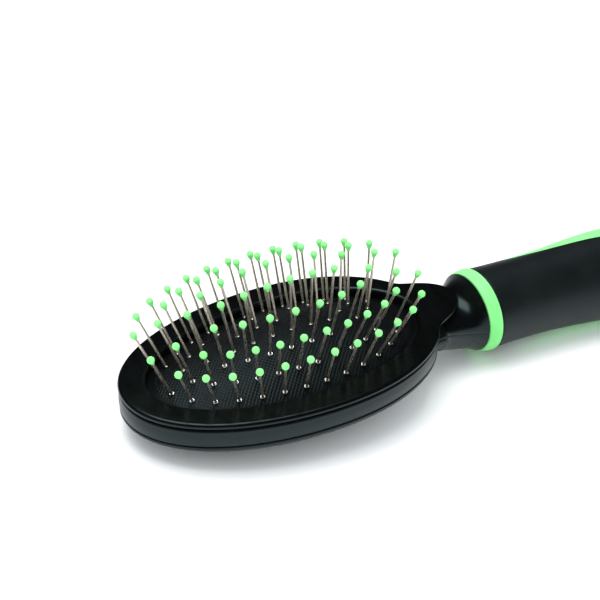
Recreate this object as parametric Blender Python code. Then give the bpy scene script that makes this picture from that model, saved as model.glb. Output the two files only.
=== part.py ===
"""Oval air-cushion pin brush for pets: head, cushion with ball-tipped pins, and a two-colour grip.

Everything is in metres. The brush lies on its back: the handle's axis is level and runs along +X,
and the head is pitched toe-down by HEAD_PITCH, so that its back and the handle's belly both touch z = 0.
Head pieces are modelled in the head's own frame, whose origin is the middle of the face plane,
and are placed by the empty "head_frame". Handle pieces hang on the empty "handle_frame".
"""
import math

import bmesh
import bpy
from mathutils import Matrix, Vector

MM = 0.001
GAP = 0.0003                      # clearance between pieces that touch

# Head, in its own frame: z = 0 is the face plane, +x points to the handle.
HEAD_A = 53.0 * MM                # half length of the oval face
HEAD_B = 31.2 * MM                # half width
NECK_TRIM = 0.04                  # how much shorter the outline is towards the neck
EGG = 0.03                        # how much wider the oval is on the handle side
OVAL_POWER = 2.06                 # 2 is a true ellipse
OPENING_A = 44.7 * MM
OPENING_B = 22.8 * MM
PLATE_THICK = 2.0 * MM
LIP_DEPTH = 2.7 * MM              # the plate's inner lip, which presses on the pad's flange
TONGUE_CENTRE = 40.0 * MM
TONGUE_A = 21.5 * MM
TONGUE_B = 12.4 * MM
SEAM_Z = -8.05 * MM               # seam between the upper body and the back shell
BAND_Z = -9.0 * MM                # the back shell is upright down to here, then domed
DOME_DEPTH = 11.1 * MM
DOME_POWER = 0.7
SHELL_WALL = 2.4 * MM
RIM_WALL = 4.2 * MM               # the shell's rim, whose step carries the chamber board
WELL_A = 46.7 * MM
WELL_B = 24.8 * MM
LEDGE_Z = -6.8 * MM
BORE_A = 43.4 * MM                # the air chamber's mouth in the body
BORE_B = 21.5 * MM
BOARD_THICK = 1.6 * MM

# Rubber cushion, measured on its top face.
PAD_CROWN_Z = 5.3 * MM
PAD_RIM_Z = -3.0 * MM
PAD_THICK = 1.5 * MM
FLANGE_A = 46.3 * MM
FLANGE_B = 24.4 * MM

# Pins: (name, count, half length, half width, start as a fraction of the spacing)
PIN_RINGS = (
    ("outer", 28, 38.8 * MM, 19.3 * MM, 0.47),
    ("second", 24, 32.5 * MM, 13.8 * MM, 0.53),
    ("third", 16, 25.4 * MM, 6.8 * MM, 0.8),
)
CENTRE_COUNT = 6
CENTRE_PITCH = 6.5 * MM
CENTRE_START = -16.7 * MM
PIN_SHIFT = -1.0 * MM             # all the rings lie a little to the toe
PIN_REACH = 18.4 * MM             # pad surface to the middle of the ball
PIN_RADIUS = 0.4 * MM
TIP_RADIUS = 1.1 * MM
PIN_SIDES = 6
STRIP_TOP = PAD_THICK + 0.45 * MM  # the backing strip's top under the pad's top face
STRIP_THICK = 0.6 * MM
STRIP_HALF_WIDTH = 1.2 * MM
FAN_SHIFT = -0.083                # the whole field leans a little to the toe
FAN_X = 0.46 / HEAD_A             # how fast the pins lean outwards along the head
FAN_SKEW = 0.2 / HEAD_A           # the far side leans to the handle
FAN_BOW = -0.3 / HEAD_A ** 2      # and both sides to the toe
FAN_SIDE = 0.48                   # the lean across the head levels off here
FAN_SPREAD = 8.3 * MM

# Handle, along the level +X axis; x is measured from the head's origin.
HEAD_PITCH = math.radians(4.27)
BELLY_RADIUS = 14.6 * MM
FACE_HEIGHT = 20.1 * MM           # the head origin's height over the floor
RING_START = 68.0 * MM
RING_END = 72.6 * MM
RING_PROFILE = ((0.0, 13.15), (0.2, 13.45), (0.5, 13.75), (0.82, 13.9), (1.0, 13.75))
GRIP_PROFILE = ((72.9, 13.45), (79.0, 13.2), (86.0, 13.0), (93.0, 12.98), (100.0, 13.1), (107.0, 13.45),
                (114.0, 13.95), (121.0, 14.35), (128.0, 14.55), (135.0, 14.6), (142.0, 14.5), (149.0, 14.1),
                (156.0, 13.3), (163.0, 12.1))
COLLAR_SLANT = 0.12               # the collar leans: its x falls by this share of the height over the axis
SLANT_REACH = 22.0 * MM           # the grip's sections turn upright again over this length
CROWN = 0.18                      # how much taller than round the grip's top is at its middle
GRIP_THICK = 1.9 * MM
SPIGOT_RADIUS = 6.4 * MM
SPIGOT_START = 55.0 * MM
SPIGOT_END = 100.0 * MM
CORE_BORE_END = 101.0 * MM
PLUG_START = 154.0 * MM           # the end cap's plug, which sits in the core
PLUG_RADIUS = 5.0 * MM
HANDLE_END = 171.5 * MM
STRIPE_FAR_DEG = 39.0             # the stripe's straight edge, from straight up towards +Y
STRIPE_WIDE_DEG = 46.0            # its width at the widest
STRIPE_TAPER_START = 80.0 * MM
STRIPE_TAPER_END = 132.0 * MM
NECK_STATIONS = (
    # x, half width, height over the axis, depth under it, seam over the axis, turn to the handle's frame
    (46.9, 10.3, 6.2, 3.0, 0.97, 0.0),
    (50.8, 10.2, 6.6, 7.0, 1.26, 0.1),
    (53.8, 10.1, 6.9, 9.3, 0.8, 0.2),
    (58.0, 10.3, 7.0, 10.6, 0.0, 0.4),
    (61.0, 10.7, 7.2, 11.1, -0.3, 0.6),
    (63.4, 11.3, 8.3, 11.6, -0.4, 0.8),
    (65.3, 12.0, 10.3, 12.2, -0.4, 0.9),
    (67.05, 13.0, 13.0, 13.0, -0.4, 1.0),
)

LOOP_POINTS = 56
BRUSH_MID_X = (HANDLE_END - HEAD_A * math.cos(HEAD_PITCH)) / 2

COLOURS = {
    # slot: base colour, roughness, metallic
    "black_gloss": ((0.012, 0.012, 0.013, 1), 0.3, 0),
    "black_satin": ((0.016, 0.016, 0.017, 1), 0.45, 0),
    "black_rubber": ((0.02, 0.02, 0.021, 1), 0.65, 0),
    "black_grip": ((0.014, 0.014, 0.014, 1), 0.6, 0),
    "mint": ((0.31, 0.93, 0.42, 1), 0.4, 0),
    "steel": ((0.62, 0.58, 0.52, 1), 0.25, 1),
    "inner_plastic": ((0.05, 0.05, 0.05, 1), 0.6, 0),
}


def clear_scene():
    for old in list(bpy.data.objects):
        bpy.data.objects.remove(old, do_unlink=True)


def material(slot):
    found = bpy.data.materials.get(slot)
    if found:
        return found
    colour, roughness, metallic = COLOURS[slot]
    made = bpy.data.materials.new(slot)
    made.use_nodes = True
    shader = made.node_tree.nodes["Principled BSDF"]
    shader.inputs["Base Color"].default_value = colour
    shader.inputs["Roughness"].default_value = roughness
    shader.inputs["Metallic"].default_value = metallic
    return made


def new_object(name, bm, slot, parent, sharp=35.0):
    bmesh.ops.remove_doubles(bm, verts=bm.verts, dist=1e-7)
    bmesh.ops.recalc_face_normals(bm, faces=bm.faces)
    mesh = bpy.data.meshes.new(name)
    bm.to_mesh(mesh)
    bm.free()
    mesh.shade_smooth()
    mesh.set_sharp_from_angle(angle=math.radians(sharp))
    obj = bpy.data.objects.new(name, mesh)
    bpy.context.scene.collection.objects.link(obj)
    obj.data.materials.append(material(slot))
    obj.parent = parent
    return obj


def new_cutter(name, bm, parent):
    cutter = new_object(name, bm, "inner_plastic", parent)
    cutter.hide_render = True
    cutter.display_type = "WIRE"
    return cutter


def boolean(obj, other, operation, crossing=False):
    """Cuts or joins. crossing lets faces of one operand cross each other, as on the back shell's rim."""
    modifier = obj.modifiers.new(other.name, "BOOLEAN")
    modifier.use_self = crossing
    modifier.operation = operation
    modifier.object = other
    modifier.solver = "EXACT"


def loft(bm, loops, ring=False):
    """Skin from loop to loop. ring joins the last loop to the first; otherwise both ends are filled."""
    rows = [[bm.verts.new(p) for p in loop] for loop in loops]
    pairs = list(zip(rows, rows[1:]))
    if ring:
        pairs.append((rows[-1], rows[0]))
    for low, high in pairs:
        for i in range(len(low)):
            j = (i + 1) % len(low)
            bm.faces.new((low[i], low[j], high[j], high[i]))
    if not ring:
        bm.faces.new(rows[0][::-1])
        bm.faces.new(rows[-1])


def oval_radius(angle, a, b, trim=0.0):
    """Distance from the head's centre to an egg-shaped oval, in that direction."""
    a *= 1 - trim * max(math.cos(angle), 0.0) ** 2
    c, s = abs(math.cos(angle)) / a, abs(math.sin(angle)) / (b * (1 + EGG * math.cos(angle)))
    return (c ** OVAL_POWER + s ** OVAL_POWER) ** (-1 / OVAL_POWER)


def tongue_radius(angle, grow=0.0):
    """The same for the tongue's ellipse, which lies off-centre towards the neck; 0 where it is missed."""
    a, b = TONGUE_A + grow, TONGUE_B + grow
    c, s = math.cos(angle), math.sin(angle)
    square = (c / a) ** 2 + (s / b) ** 2
    half = c * TONGUE_CENTRE / a ** 2
    rest = half ** 2 - square * ((TONGUE_CENTRE / a) ** 2 - 1)
    if rest <= 0 or c <= 0:
        return 0.0
    return (half + math.sqrt(rest)) / square


def oval_loop(a, b, z, tongue=None, count=LOOP_POINTS, trim=0.0):
    points = []
    for i in range(count):
        angle = 2 * math.pi * i / count
        radius = oval_radius(angle, a, b, trim)
        if tongue is not None:
            radius = max(radius, tongue_radius(angle, tongue))
        points.append((radius * math.cos(angle), radius * math.sin(angle), z))
    return points


def shell_loop(a, b, z, tongue=None):
    """A loop of the head's own outline, which is a little shorter towards the neck."""
    return oval_loop(a, b, z, tongue, trim=NECK_TRIM)


def dome_z(share):
    """The back shell's outer height where the oval has shrunk to this share of full size."""
    return BAND_Z - DOME_DEPTH * (1 - share ** 2) ** DOME_POWER


def pad_z(x, y):
    """Height of the pad's top face."""
    share = (x / OPENING_A) ** 2 + (y / OPENING_B) ** 2
    return PAD_CROWN_Z + (PAD_RIM_Z - PAD_CROWN_Z) * min(share, 1.0)


def pad_slope(x, y):
    """Direction square to the pad's top face."""
    fall = 2 * (PAD_CROWN_Z - PAD_RIM_Z)
    return Vector((fall * x / OPENING_A ** 2, fall * y / OPENING_B ** 2, 1)).normalized()


# Head pieces -----------------------------------------------------------------------------------------

def make_face_plate(head):
    bm = bmesh.new()
    edge = 0.5 * MM
    loft(bm, [
        oval_loop(OPENING_A, OPENING_B, -LIP_DEPTH),
        oval_loop(OPENING_A, OPENING_B, -edge),
        oval_loop(OPENING_A + edge, OPENING_B + edge, 0.0),
        shell_loop(HEAD_A - 2 * edge, HEAD_B - 2 * edge, 0.0, -2 * edge),
        shell_loop(HEAD_A, HEAD_B, -0.8 * MM, 0.0),
        shell_loop(HEAD_A, HEAD_B, -PLATE_THICK, 0.0),
        oval_loop(WELL_A - GAP, WELL_B - GAP, -PLATE_THICK),
        oval_loop(WELL_A - GAP, WELL_B - GAP, -LIP_DEPTH),
    ], ring=True)
    new_object("face_plate", bm, "black_gloss", head)


def neck_frame(x, turn):
    """A neck station's centre on the handle's axis, and its up direction, in the head's frame."""
    drop = FACE_HEIGHT - BELLY_RADIUS
    start = Matrix.Rotation(HEAD_PITCH, 4, "Y") @ Vector((RING_START, 0, -drop))
    centre = Vector((x, 0, start.z + (start.x - x) * math.tan(HEAD_PITCH)))
    lean = (HEAD_PITCH - math.atan(COLLAR_SLANT)) * turn
    return centre, Vector((math.sin(lean), 0, math.cos(lean)))


def neck_arc(wide, over, under, seam, side, steps=12):
    """Half of an oval section above (side 1) or below (side -1) the seam, as (across, up) pairs."""
    level = seam + side * GAP / 2
    start = math.asin(level / over) * side
    points = []
    for i in range(steps + 1):
        angle = start + (math.pi - 2 * start) * i / steps
        rise = side * math.sin(angle)
        points.append((wide * math.cos(angle), rise * (over if rise > 0 else under)))
    return points


def neck_half(upper):
    """Half of the neck's shell, cut at the seam, hollow where the spigot lies."""
    side = 1 if upper else -1
    bore = SPIGOT_RADIUS + GAP
    wall = SPIGOT_START - 1.3 * MM
    stations = [[value * MM for value in row[:5]] + [row[5]] for row in NECK_STATIONS]
    after = next(i for i, row in enumerate(stations) if row[0] > wall)
    share = (wall - stations[after - 1][0]) / (stations[after][0] - stations[after - 1][0])
    end_wall = [p + (q - p) * share for p, q in zip(stations[after - 1], stations[after])]
    plan = [(row, False) for row in stations[:after]] + [(end_wall, False), (end_wall, True)]
    plan += [(row, True) for row in stations[after:]]
    loops = []
    for (x, wide, over, under, seam, turn), hollow in plan:
        centre, up = neck_frame(x, turn)
        inner = neck_arc(bore, bore, bore, seam, side)[::-1]
        if not hollow:
            inner = [(across, seam + side * GAP / 2) for across, _ in inner]
        section = neck_arc(wide, over, under, seam, side) + inner
        loops.append([centre + Vector((0, across, 0)) + up * rise for across, rise in section])
    bm = bmesh.new()
    loft(bm, loops)
    return bm


def make_head_body(head):
    """The side wall round the cushion, with a ledge for the clamp ring, and the neck's upper half."""
    bm = bmesh.new()
    recess = 0.6 * MM
    top = -PLATE_THICK - GAP
    loft(bm, [
        oval_loop(WELL_A, WELL_B, top),
        shell_loop(HEAD_A - recess, HEAD_B - recess, top),
        shell_loop(HEAD_A - 0.2 * MM, HEAD_B - 0.2 * MM, top - 0.9 * MM),
        shell_loop(HEAD_A - 0.3 * MM, HEAD_B - 0.2 * MM, SEAM_Z + GAP / 2),
        oval_loop(BORE_A, BORE_B, SEAM_Z + GAP / 2),
        oval_loop(BORE_A, BORE_B, LEDGE_Z),
        oval_loop(WELL_A, WELL_B, LEDGE_Z),
    ], ring=True)
    body = new_object("head_body", bm, "black_satin", head)
    boolean(body, new_cutter("neck_upper", neck_half(True), head), "UNION")


def make_back_shell(head):
    """The domed back with the neck's lower half, cut level where it stands."""
    bm = bmesh.new()
    shares = (1.0, 0.97, 0.91, 0.82, 0.7, 0.55, 0.38, 0.2)
    outer_a, outer_b = HEAD_A - 0.3 * MM, HEAD_B - 0.2 * MM
    top = SEAM_Z - GAP / 2
    board_floor = top - BOARD_THICK - GAP
    rim = RIM_WALL
    loops = []
    for s in shares[:1:-1]:
        height = min(dome_z(s) + SHELL_WALL, board_floor - 0.5 * MM)
        loops.append(shell_loop(s * (outer_a - SHELL_WALL), s * (outer_b - SHELL_WALL), height))
    loops += [
        shell_loop(outer_a - rim - 1.6 * MM, outer_b - rim - 1.6 * MM, board_floor),
        shell_loop(outer_a - rim, outer_b - rim, board_floor),
        shell_loop(outer_a - rim, outer_b - rim, top),
        shell_loop(outer_a, outer_b, top),
    ]
    loops += [shell_loop(s * outer_a, s * outer_b, dome_z(s)) for s in shares]
    loft(bm, loops)
    shell = new_object("back_shell", bm, "black_satin", head)
    boolean(shell, new_cutter("neck_lower", neck_half(False), head), "UNION", crossing=True)
    ground = bmesh.new()
    bmesh.ops.create_cube(ground, size=1.0, matrix=Matrix.Diagonal((0.3, 0.1, 0.05, 1)))
    floor_cut = new_cutter("floor_cut", ground, None)
    floor_cut.location = (0, 0, -0.025)
    boolean(shell, floor_cut, "DIFFERENCE")


def make_chamber_board(head):
    bm = bmesh.new()
    a, b = HEAD_A - 0.3 * MM - RIM_WALL - GAP, HEAD_B - 0.2 * MM - RIM_WALL - GAP
    top = SEAM_Z - GAP / 2 - 0.05 * MM
    loft(bm, [shell_loop(a, b, top - BOARD_THICK), shell_loop(a, b, top)])
    new_object("chamber_board", bm, "inner_plastic", head)


def make_clamp_ring(head):
    bm = bmesh.new()
    top = PAD_RIM_Z - PAD_THICK - GAP
    bottom = LEDGE_Z + GAP
    inner_a, inner_b = BORE_A + 0.3 * MM, BORE_B + 0.3 * MM
    loft(bm, [
        oval_loop(inner_a, inner_b, bottom),
        oval_loop(inner_a, inner_b, top),
        oval_loop(FLANGE_A, FLANGE_B, top),
        oval_loop(FLANGE_A, FLANGE_B, bottom),
    ], ring=True)
    new_object("pad_clamp_ring", bm, "inner_plastic", head)


def ring_places(count, a, b, start):
    """Places spaced evenly along an oval."""
    fine = 1440
    path = []
    for i in range(fine + 1):
        angle = 2 * math.pi * i / fine
        radius = oval_radius(angle, a, b)
        path.append(Vector((radius * math.cos(angle), radius * math.sin(angle))))
    along = [0.0]
    for p, q in zip(path, path[1:]):
        along.append(along[-1] + (q - p).length)
    places = []
    k = 0
    for i in range(count):
        target = (i + start) / count * along[-1]
        while along[k + 1] < target:
            k += 1
        share = (target - along[k]) / (along[k + 1] - along[k])
        places.append(path[k].lerp(path[k + 1], share))
    return places


def pin_groups():
    groups = [(name, ring_places(count, a, b, start)) for name, count, a, b, start in PIN_RINGS]
    groups.append(("centre", [Vector((CENTRE_START + i * CENTRE_PITCH, 0)) for i in range(CENTRE_COUNT)]))
    shift = Vector((PIN_SHIFT, 0))
    return [(name, [place + shift for place in places]) for name, places in groups]


def pin_line(place):
    """Where a pin leaves the pad, and its direction."""
    base = Vector((place.x, place.y, pad_z(place.x, place.y)))
    along = FAN_SHIFT + FAN_X * place.x + FAN_SKEW * place.y + FAN_BOW * place.y ** 2
    across = FAN_SIDE * math.tanh(place.y / FAN_SPREAD)
    return base, Vector((along, across, 1)).normalized()


def turned(bm, base, axis, profile):
    """A turned solid along axis from base; profile is (distance along, radius). Negative-going ends close."""
    side = axis.cross(Vector((0, 1, 0))).normalized()
    other = axis.cross(side)
    loops = []
    for along, radius in profile:
        loop = []
        for i in range(PIN_SIDES):
            angle = 2 * math.pi * i / PIN_SIDES
            loop.append(base + axis * along + side * radius * math.cos(angle) + other * radius * math.sin(angle))
        loops.append(loop)
    loft(bm, loops)


def make_cushion_pad(head):
    bm = bmesh.new()
    shares = (0.12, 0.4, 0.62, 0.8, 0.92, 1.0)
    count = 40
    foot = PAD_RIM_Z - PAD_THICK
    fall = PAD_CROWN_Z - PAD_RIM_Z
    loops = []
    for s in shares:
        loops.append(oval_loop(s * OPENING_A, s * OPENING_B, PAD_CROWN_Z - PAD_THICK - fall * s * s, count=count))
    loops += [
        oval_loop(FLANGE_A, FLANGE_B, foot, count=count),
        oval_loop(FLANGE_A, FLANGE_B, PAD_RIM_Z, count=count),
    ]
    for s in reversed(shares):
        loops.append(oval_loop(s * OPENING_A, s * OPENING_B, PAD_CROWN_Z - fall * s * s, count=count))
    loft(bm, loops)
    pad = new_object("cushion_pad", bm, "black_rubber", head)
    holes = bmesh.new()
    for _, places in pin_groups():
        for place in places:
            base, lean = pin_line(place)
            radius = PIN_RADIUS + GAP
            turned(holes, base, lean, ((-5 * MM, radius), (2 * MM, radius)))
    boolean(pad, new_cutter("pin_holes", holes, head), "DIFFERENCE")


def backing_strip(bm, path, closed=True):
    """A narrow band under the pad that the pins of one ring are fixed in, following the pad's dome."""
    rows = []
    for i, place in enumerate(path):
        back = path[i - 1] if closed or i else place
        ahead = path[(i + 1) % len(path)] if closed or i + 1 < len(path) else place
        side = Vector((ahead.y - back.y, back.x - ahead.x)).normalized() * STRIP_HALF_WIDTH
        row = []
        for edge, depth in ((-1, 0), (1, 0), (1, STRIP_THICK), (-1, STRIP_THICK)):
            spot = place + side * edge
            row.append((spot.x, spot.y, pad_z(spot.x, spot.y) - STRIP_TOP - depth))
        rows.append(row)
    loft(bm, rows, ring=closed)


def make_pins(head):
    """Each ring of pins, with its ball tips, presses in together, so it hangs on its own empty."""
    for name, places in pin_groups():
        carrier = bpy.data.objects.new("press_" + name, None)
        bpy.context.scene.collection.objects.link(carrier)
        carrier.parent = head
        strip, pins = bmesh.new(), bmesh.new()
        for place in places:
            base, lean = pin_line(place)
            foot = (STRIP_TOP + STRIP_THICK + 0.25 * MM) / lean.dot(pad_slope(place.x, place.y))
            turned(pins, base, lean, (
                (-foot, PIN_RADIUS),
                (PIN_REACH - 1.6 * MM, PIN_RADIUS),
                (PIN_REACH - 1.0 * MM, 0.8 * MM),
                (PIN_REACH + 0.1 * MM, TIP_RADIUS),
                (PIN_REACH + 1.0 * MM, 0.7 * MM),
            ))
        closed = name != "centre"
        path = places
        if not closed:
            reach = Vector((STRIP_HALF_WIDTH, 0))
            path = [places[0] - reach] + places + [places[-1] + reach]
        backing_strip(strip, path, closed)
        group = new_object("pins_" + name, strip, "steel", carrier)
        boolean(group, new_cutter("shafts_" + name, pins, carrier), "UNION")


# Handle pieces ---------------------------------------------------------------------------------------

def grip_radius(x):
    """The grip's outer radius, read along its profile."""
    x = x / MM
    stops = GRIP_PROFILE
    if x <= stops[0][0]:
        return stops[0][1] * MM
    for (x0, r0), (x1, r1) in zip(stops, stops[1:]):
        if x <= x1:
            return (r0 + (r1 - r0) * (x - x0) / (x1 - x0)) * MM
    return stops[-1][1] * MM


def stripe_near_deg(x):
    """The stripe's slanting edge, from straight up; at the front it meets the straight edge."""
    share = (x - STRIPE_TAPER_START) / (STRIPE_TAPER_END - STRIPE_TAPER_START)
    share = min(max(share, 0.04), 1.0)
    return STRIPE_FAR_DEG - STRIPE_WIDE_DEG * share ** 0.8


def polar(x, degrees, radius):
    """A point on the handle: degrees are measured from straight up towards +Y."""
    angle = math.radians(degrees)
    return Vector((x, radius * math.sin(angle), radius * math.cos(angle)))


def section(x, degrees, radius):
    """The same on the collar and the grip: the front leans with the collar, and the grip's top is crowned."""
    point = polar(x, degrees, radius)
    past = max(x - RING_END, 0.0)
    if point.z > 0:
        point.z *= 1 + CROWN * math.sin(math.pi * past / (HANDLE_END - RING_END))
    point.x -= COLLAR_SLANT * point.z * max(1 - past / SLANT_REACH, 0.0)
    return point


def spread(first, last, count):
    return [first + (last - first) * i / (count - 1) for i in range(count)]


def make_accent_ring(handle):
    bm = bmesh.new()
    count = 40
    inner = SPIGOT_RADIUS + GAP
    loops = [[section(RING_START, 360 * i / count, inner) for i in range(count)]]
    for share, radius in RING_PROFILE:
        x = RING_START + share * (RING_END - RING_START)
        loops.append([section(x, 360 * i / count, radius * MM) for i in range(count)])
    loops.append([section(RING_END, 360 * i / count, inner) for i in range(count)])
    loft(bm, loops, ring=True)
    new_object("accent_ring", bm, "mint", handle)


def make_spigot(handle):
    bm = bmesh.new()
    count = 32
    loft(bm, [[polar(x, 360 * i / count, SPIGOT_RADIUS) for i in range(count)]
              for x in (SPIGOT_START, SPIGOT_END)])
    new_object("neck_spigot", bm, "inner_plastic", handle)


def make_handle_core(handle):
    """The green bar. It stands out flush with the grip along the two stripes, half a turn apart."""
    bm = bmesh.new()
    loops = []
    for x_mm, _ in GRIP_PROFILE:
        x = x_mm * MM
        outer = grip_radius(x) - 0.05 * MM
        inner = grip_radius(x) - GRIP_THICK - GAP
        near, far = stripe_near_deg(x), STRIPE_FAR_DEG
        loop = []
        for turn in (0, -180):
            loop += [section(x, turn + a, outer) for a in spread(near, far, 4)]
            loop += [section(x, turn + a, inner) for a in spread(far, near + 180, 14)]
        loops.append(loop)
    loft(bm, loops)
    core = new_object("handle_core", bm, "mint", handle)
    for name, first, last, radius in (
        ("core_bore", RING_START, CORE_BORE_END, SPIGOT_RADIUS + GAP),
        ("cap_socket", PLUG_START - 2.0 * MM, HANDLE_END, PLUG_RADIUS + GAP),
    ):
        hole = bmesh.new()
        loft(hole, [[polar(x, 360 * i / 32, radius) for i in range(32)] for x in (first, last)])
        boolean(core, new_cutter(name, hole, handle), "DIFFERENCE")


def make_grip_panels(handle):
    """Two soft black panels, each half a turn from the other, with the stripes between them."""
    steps = 13
    side_gap_mm = 0.3
    for name, turn in (("grip_panel_far", 0), ("grip_panel_near", -180)):
        bm = bmesh.new()
        loops = []
        for x_mm, _ in GRIP_PROFILE:
            x = x_mm * MM
            outer, inner = grip_radius(x), grip_radius(x) - GRIP_THICK
            slip = math.degrees(side_gap_mm * MM / inner)
            first = turn + STRIPE_FAR_DEG + slip
            last = turn + 180 + stripe_near_deg(x) - slip
            loop = [section(x, a, outer) for a in spread(first, last, steps)]
            loop += [section(x, a, inner) for a in spread(last, first, steps)]
            loops.append(loop)
        loft(bm, loops)
        new_object(name, bm, "black_grip", handle)


def make_end_cap(handle):
    bm = bmesh.new()
    count = 32
    start = GRIP_PROFILE[-1][0] * MM + GAP
    radius = GRIP_PROFILE[-1][1] * MM
    plug = ((PLUG_START, PLUG_RADIUS), (start, PLUG_RADIUS))
    profile = [(start, radius)]
    for degrees in (25, 45, 62, 76):
        angle = math.radians(degrees)
        profile.append((start + (HANDLE_END - start) * math.sin(angle), radius * math.cos(angle) ** 0.7))
    profile.append((HANDLE_END, radius * 0.2))
    loops = [[polar(x, 360 * i / count, r) for i in range(count)] for x, r in plug]
    loops += [[section(x, 360 * i / count, r) for i in range(count)] for x, r in profile]
    loft(bm, loops)
    new_object("end_cap", bm, "black_gloss", handle)


def main():
    clear_scene()
    head = bpy.data.objects.new("head_frame", None)
    handle = bpy.data.objects.new("handle_frame", None)
    for empty in (head, handle):
        bpy.context.scene.collection.objects.link(empty)
    head.location = (-BRUSH_MID_X, 0, FACE_HEIGHT)
    head.rotation_euler = (0, -HEAD_PITCH, 0)
    handle.location = (-BRUSH_MID_X, 0, BELLY_RADIUS)
    make_face_plate(head)
    make_head_body(head)
    make_back_shell(head)
    make_chamber_board(head)
    make_clamp_ring(head)
    make_cushion_pad(head)
    make_pins(head)
    make_spigot(handle)
    make_accent_ring(handle)
    make_handle_core(handle)
    make_grip_panels(handle)
    make_end_cap(handle)


main()
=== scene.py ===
"""The looks of the oval pin brush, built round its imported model.

Metres throughout. Head pieces are drawn in the head's own frame (z = 0 is the face plane, +x points to the
handle) and placed by HEAD_PLACE; handle pieces are drawn about the handle's level axis and placed by
HANDLE_PLACE. The sizes repeat the design's driving dimensions.
"""
import math
import random

import bmesh
import bpy
from mathutils import Matrix, Vector


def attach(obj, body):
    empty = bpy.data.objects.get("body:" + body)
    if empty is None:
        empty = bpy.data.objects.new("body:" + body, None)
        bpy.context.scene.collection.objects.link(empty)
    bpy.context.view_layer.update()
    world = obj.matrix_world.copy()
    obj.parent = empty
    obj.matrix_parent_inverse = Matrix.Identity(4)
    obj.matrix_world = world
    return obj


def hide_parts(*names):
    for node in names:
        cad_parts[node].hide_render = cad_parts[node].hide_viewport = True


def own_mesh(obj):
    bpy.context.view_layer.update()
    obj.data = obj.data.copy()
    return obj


MM = 0.001
GAP = 0.3 * MM

# Head
HEAD_A = 53.0 * MM
HEAD_B = 31.2 * MM
NECK_TRIM = 0.04                  # how much shorter the outline is towards the neck
EGG = 0.03
OVAL_POWER = 2.06
OPENING_A = 44.7 * MM
OPENING_B = 22.8 * MM
PLATE_THICK = 2.0 * MM
LIP_DEPTH = 2.7 * MM
TONGUE_CENTRE = 40.0 * MM
TONGUE_A = 21.5 * MM
TONGUE_B = 12.4 * MM
TONGUE_BLEND = 34                 # the higher, the tighter the corner where the tongue leaves the oval
SEAM_Z = -8.05 * MM
BAND_Z = -9.0 * MM
DOME_DEPTH = 11.1 * MM
DOME_POWER = 0.7
SHELL_WALL = 2.4 * MM
RIM_WALL = 4.2 * MM
WELL_A = 46.7 * MM
WELL_B = 24.8 * MM
LEDGE_Z = -6.8 * MM
BORE_A = 43.4 * MM
BORE_B = 21.5 * MM
BOARD_THICK = 1.6 * MM

# Cushion
PAD_CROWN_Z = 5.3 * MM
PAD_RIM_Z = -3.0 * MM
PAD_THICK = 1.5 * MM
FLANGE_A = 46.3 * MM
FLANGE_B = 24.4 * MM
WEAVE_PITCH = 0.95 * MM
WEAVE_DEPTH = 0.16 * MM
PATCH_RADIUS = 1.45 * MM          # round each pin the pad is plain up to here
PATCH_EDGE = 0.5 * MM
WEAVE_REACH = 0.955               # the woven part's share of the opening; the pad's rim is plain

# Pins: name, count, half length, half width, start as a fraction of the spacing
PIN_RINGS = (
    ("outer", 28, 38.8 * MM, 19.3 * MM, 0.47),
    ("second", 24, 32.5 * MM, 13.8 * MM, 0.53),
    ("third", 16, 25.4 * MM, 6.8 * MM, 0.8),
)
CENTRE_COUNT = 6
CENTRE_PITCH = 6.5 * MM
CENTRE_START = -16.7 * MM
PIN_SHIFT = -1.0 * MM             # all the rings lie a little to the toe
PIN_REACH = 18.4 * MM
PIN_RADIUS = 0.4 * MM
TIP_RADIUS = 1.1 * MM
STRIP_TOP = PAD_THICK + 0.45 * MM
STRIP_THICK = 0.6 * MM
STRIP_HALF_WIDTH = 1.2 * MM
FAN_SHIFT = -0.083
FAN_X = 0.46 / HEAD_A
FAN_SKEW = 0.2 / HEAD_A
FAN_BOW = -0.3 / HEAD_A ** 2
FAN_SIDE = 0.48
FAN_SPREAD = 8.3 * MM
WOBBLE = 0.006                    # how far single pins stray from their fan direction

# Handle
HEAD_PITCH = math.radians(4.27)
BELLY_RADIUS = 14.6 * MM
FACE_HEIGHT = 20.1 * MM
RING_START = 68.0 * MM
RING_END = 72.6 * MM
RING_PROFILE = ((0.0, 12.95), (0.03, 13.15), (0.1, 13.3), (0.3, 13.53), (0.5, 13.72), (0.75, 13.88),
                (0.9, 13.9), (0.97, 13.75), (1.0, 13.4))
GRIP_PROFILE = ((72.9, 13.1), (73.2, 13.35), (73.9, 13.42), (79.0, 13.2), (86.0, 13.0), (93.0, 12.98),
                (100.0, 13.1), (107.0, 13.45), (114.0, 13.95), (121.0, 14.35), (128.0, 14.55), (135.0, 14.6),
                (142.0, 14.5), (149.0, 14.1), (156.0, 13.3), (162.4, 12.2), (163.0, 11.9))
COLLAR_SLANT = 0.12               # the collar leans: its x falls by this share of the height over the axis
SLANT_REACH = 22.0 * MM           # the grip's sections turn upright again over this length
CROWN = 0.18                      # how much taller than round the grip's top is at its middle
GRIP_THICK = 1.9 * MM
SPIGOT_RADIUS = 6.4 * MM
SPIGOT_START = 55.0 * MM
PLUG_START = 154.0 * MM           # the rear cap's plug, which sits in the core
PLUG_RADIUS = 5.0 * MM
HANDLE_END = 171.5 * MM
STRIPE_FAR_DEG = 39.0
STRIPE_WIDE_DEG = 46.0
STRIPE_TAPER_START = 80.0 * MM
STRIPE_TAPER_END = 132.0 * MM
NECK_SWELL = 1.5 * MM             # the neck is this much wider where it leaves the head
SWELL_START = 51.2 * MM
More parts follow.
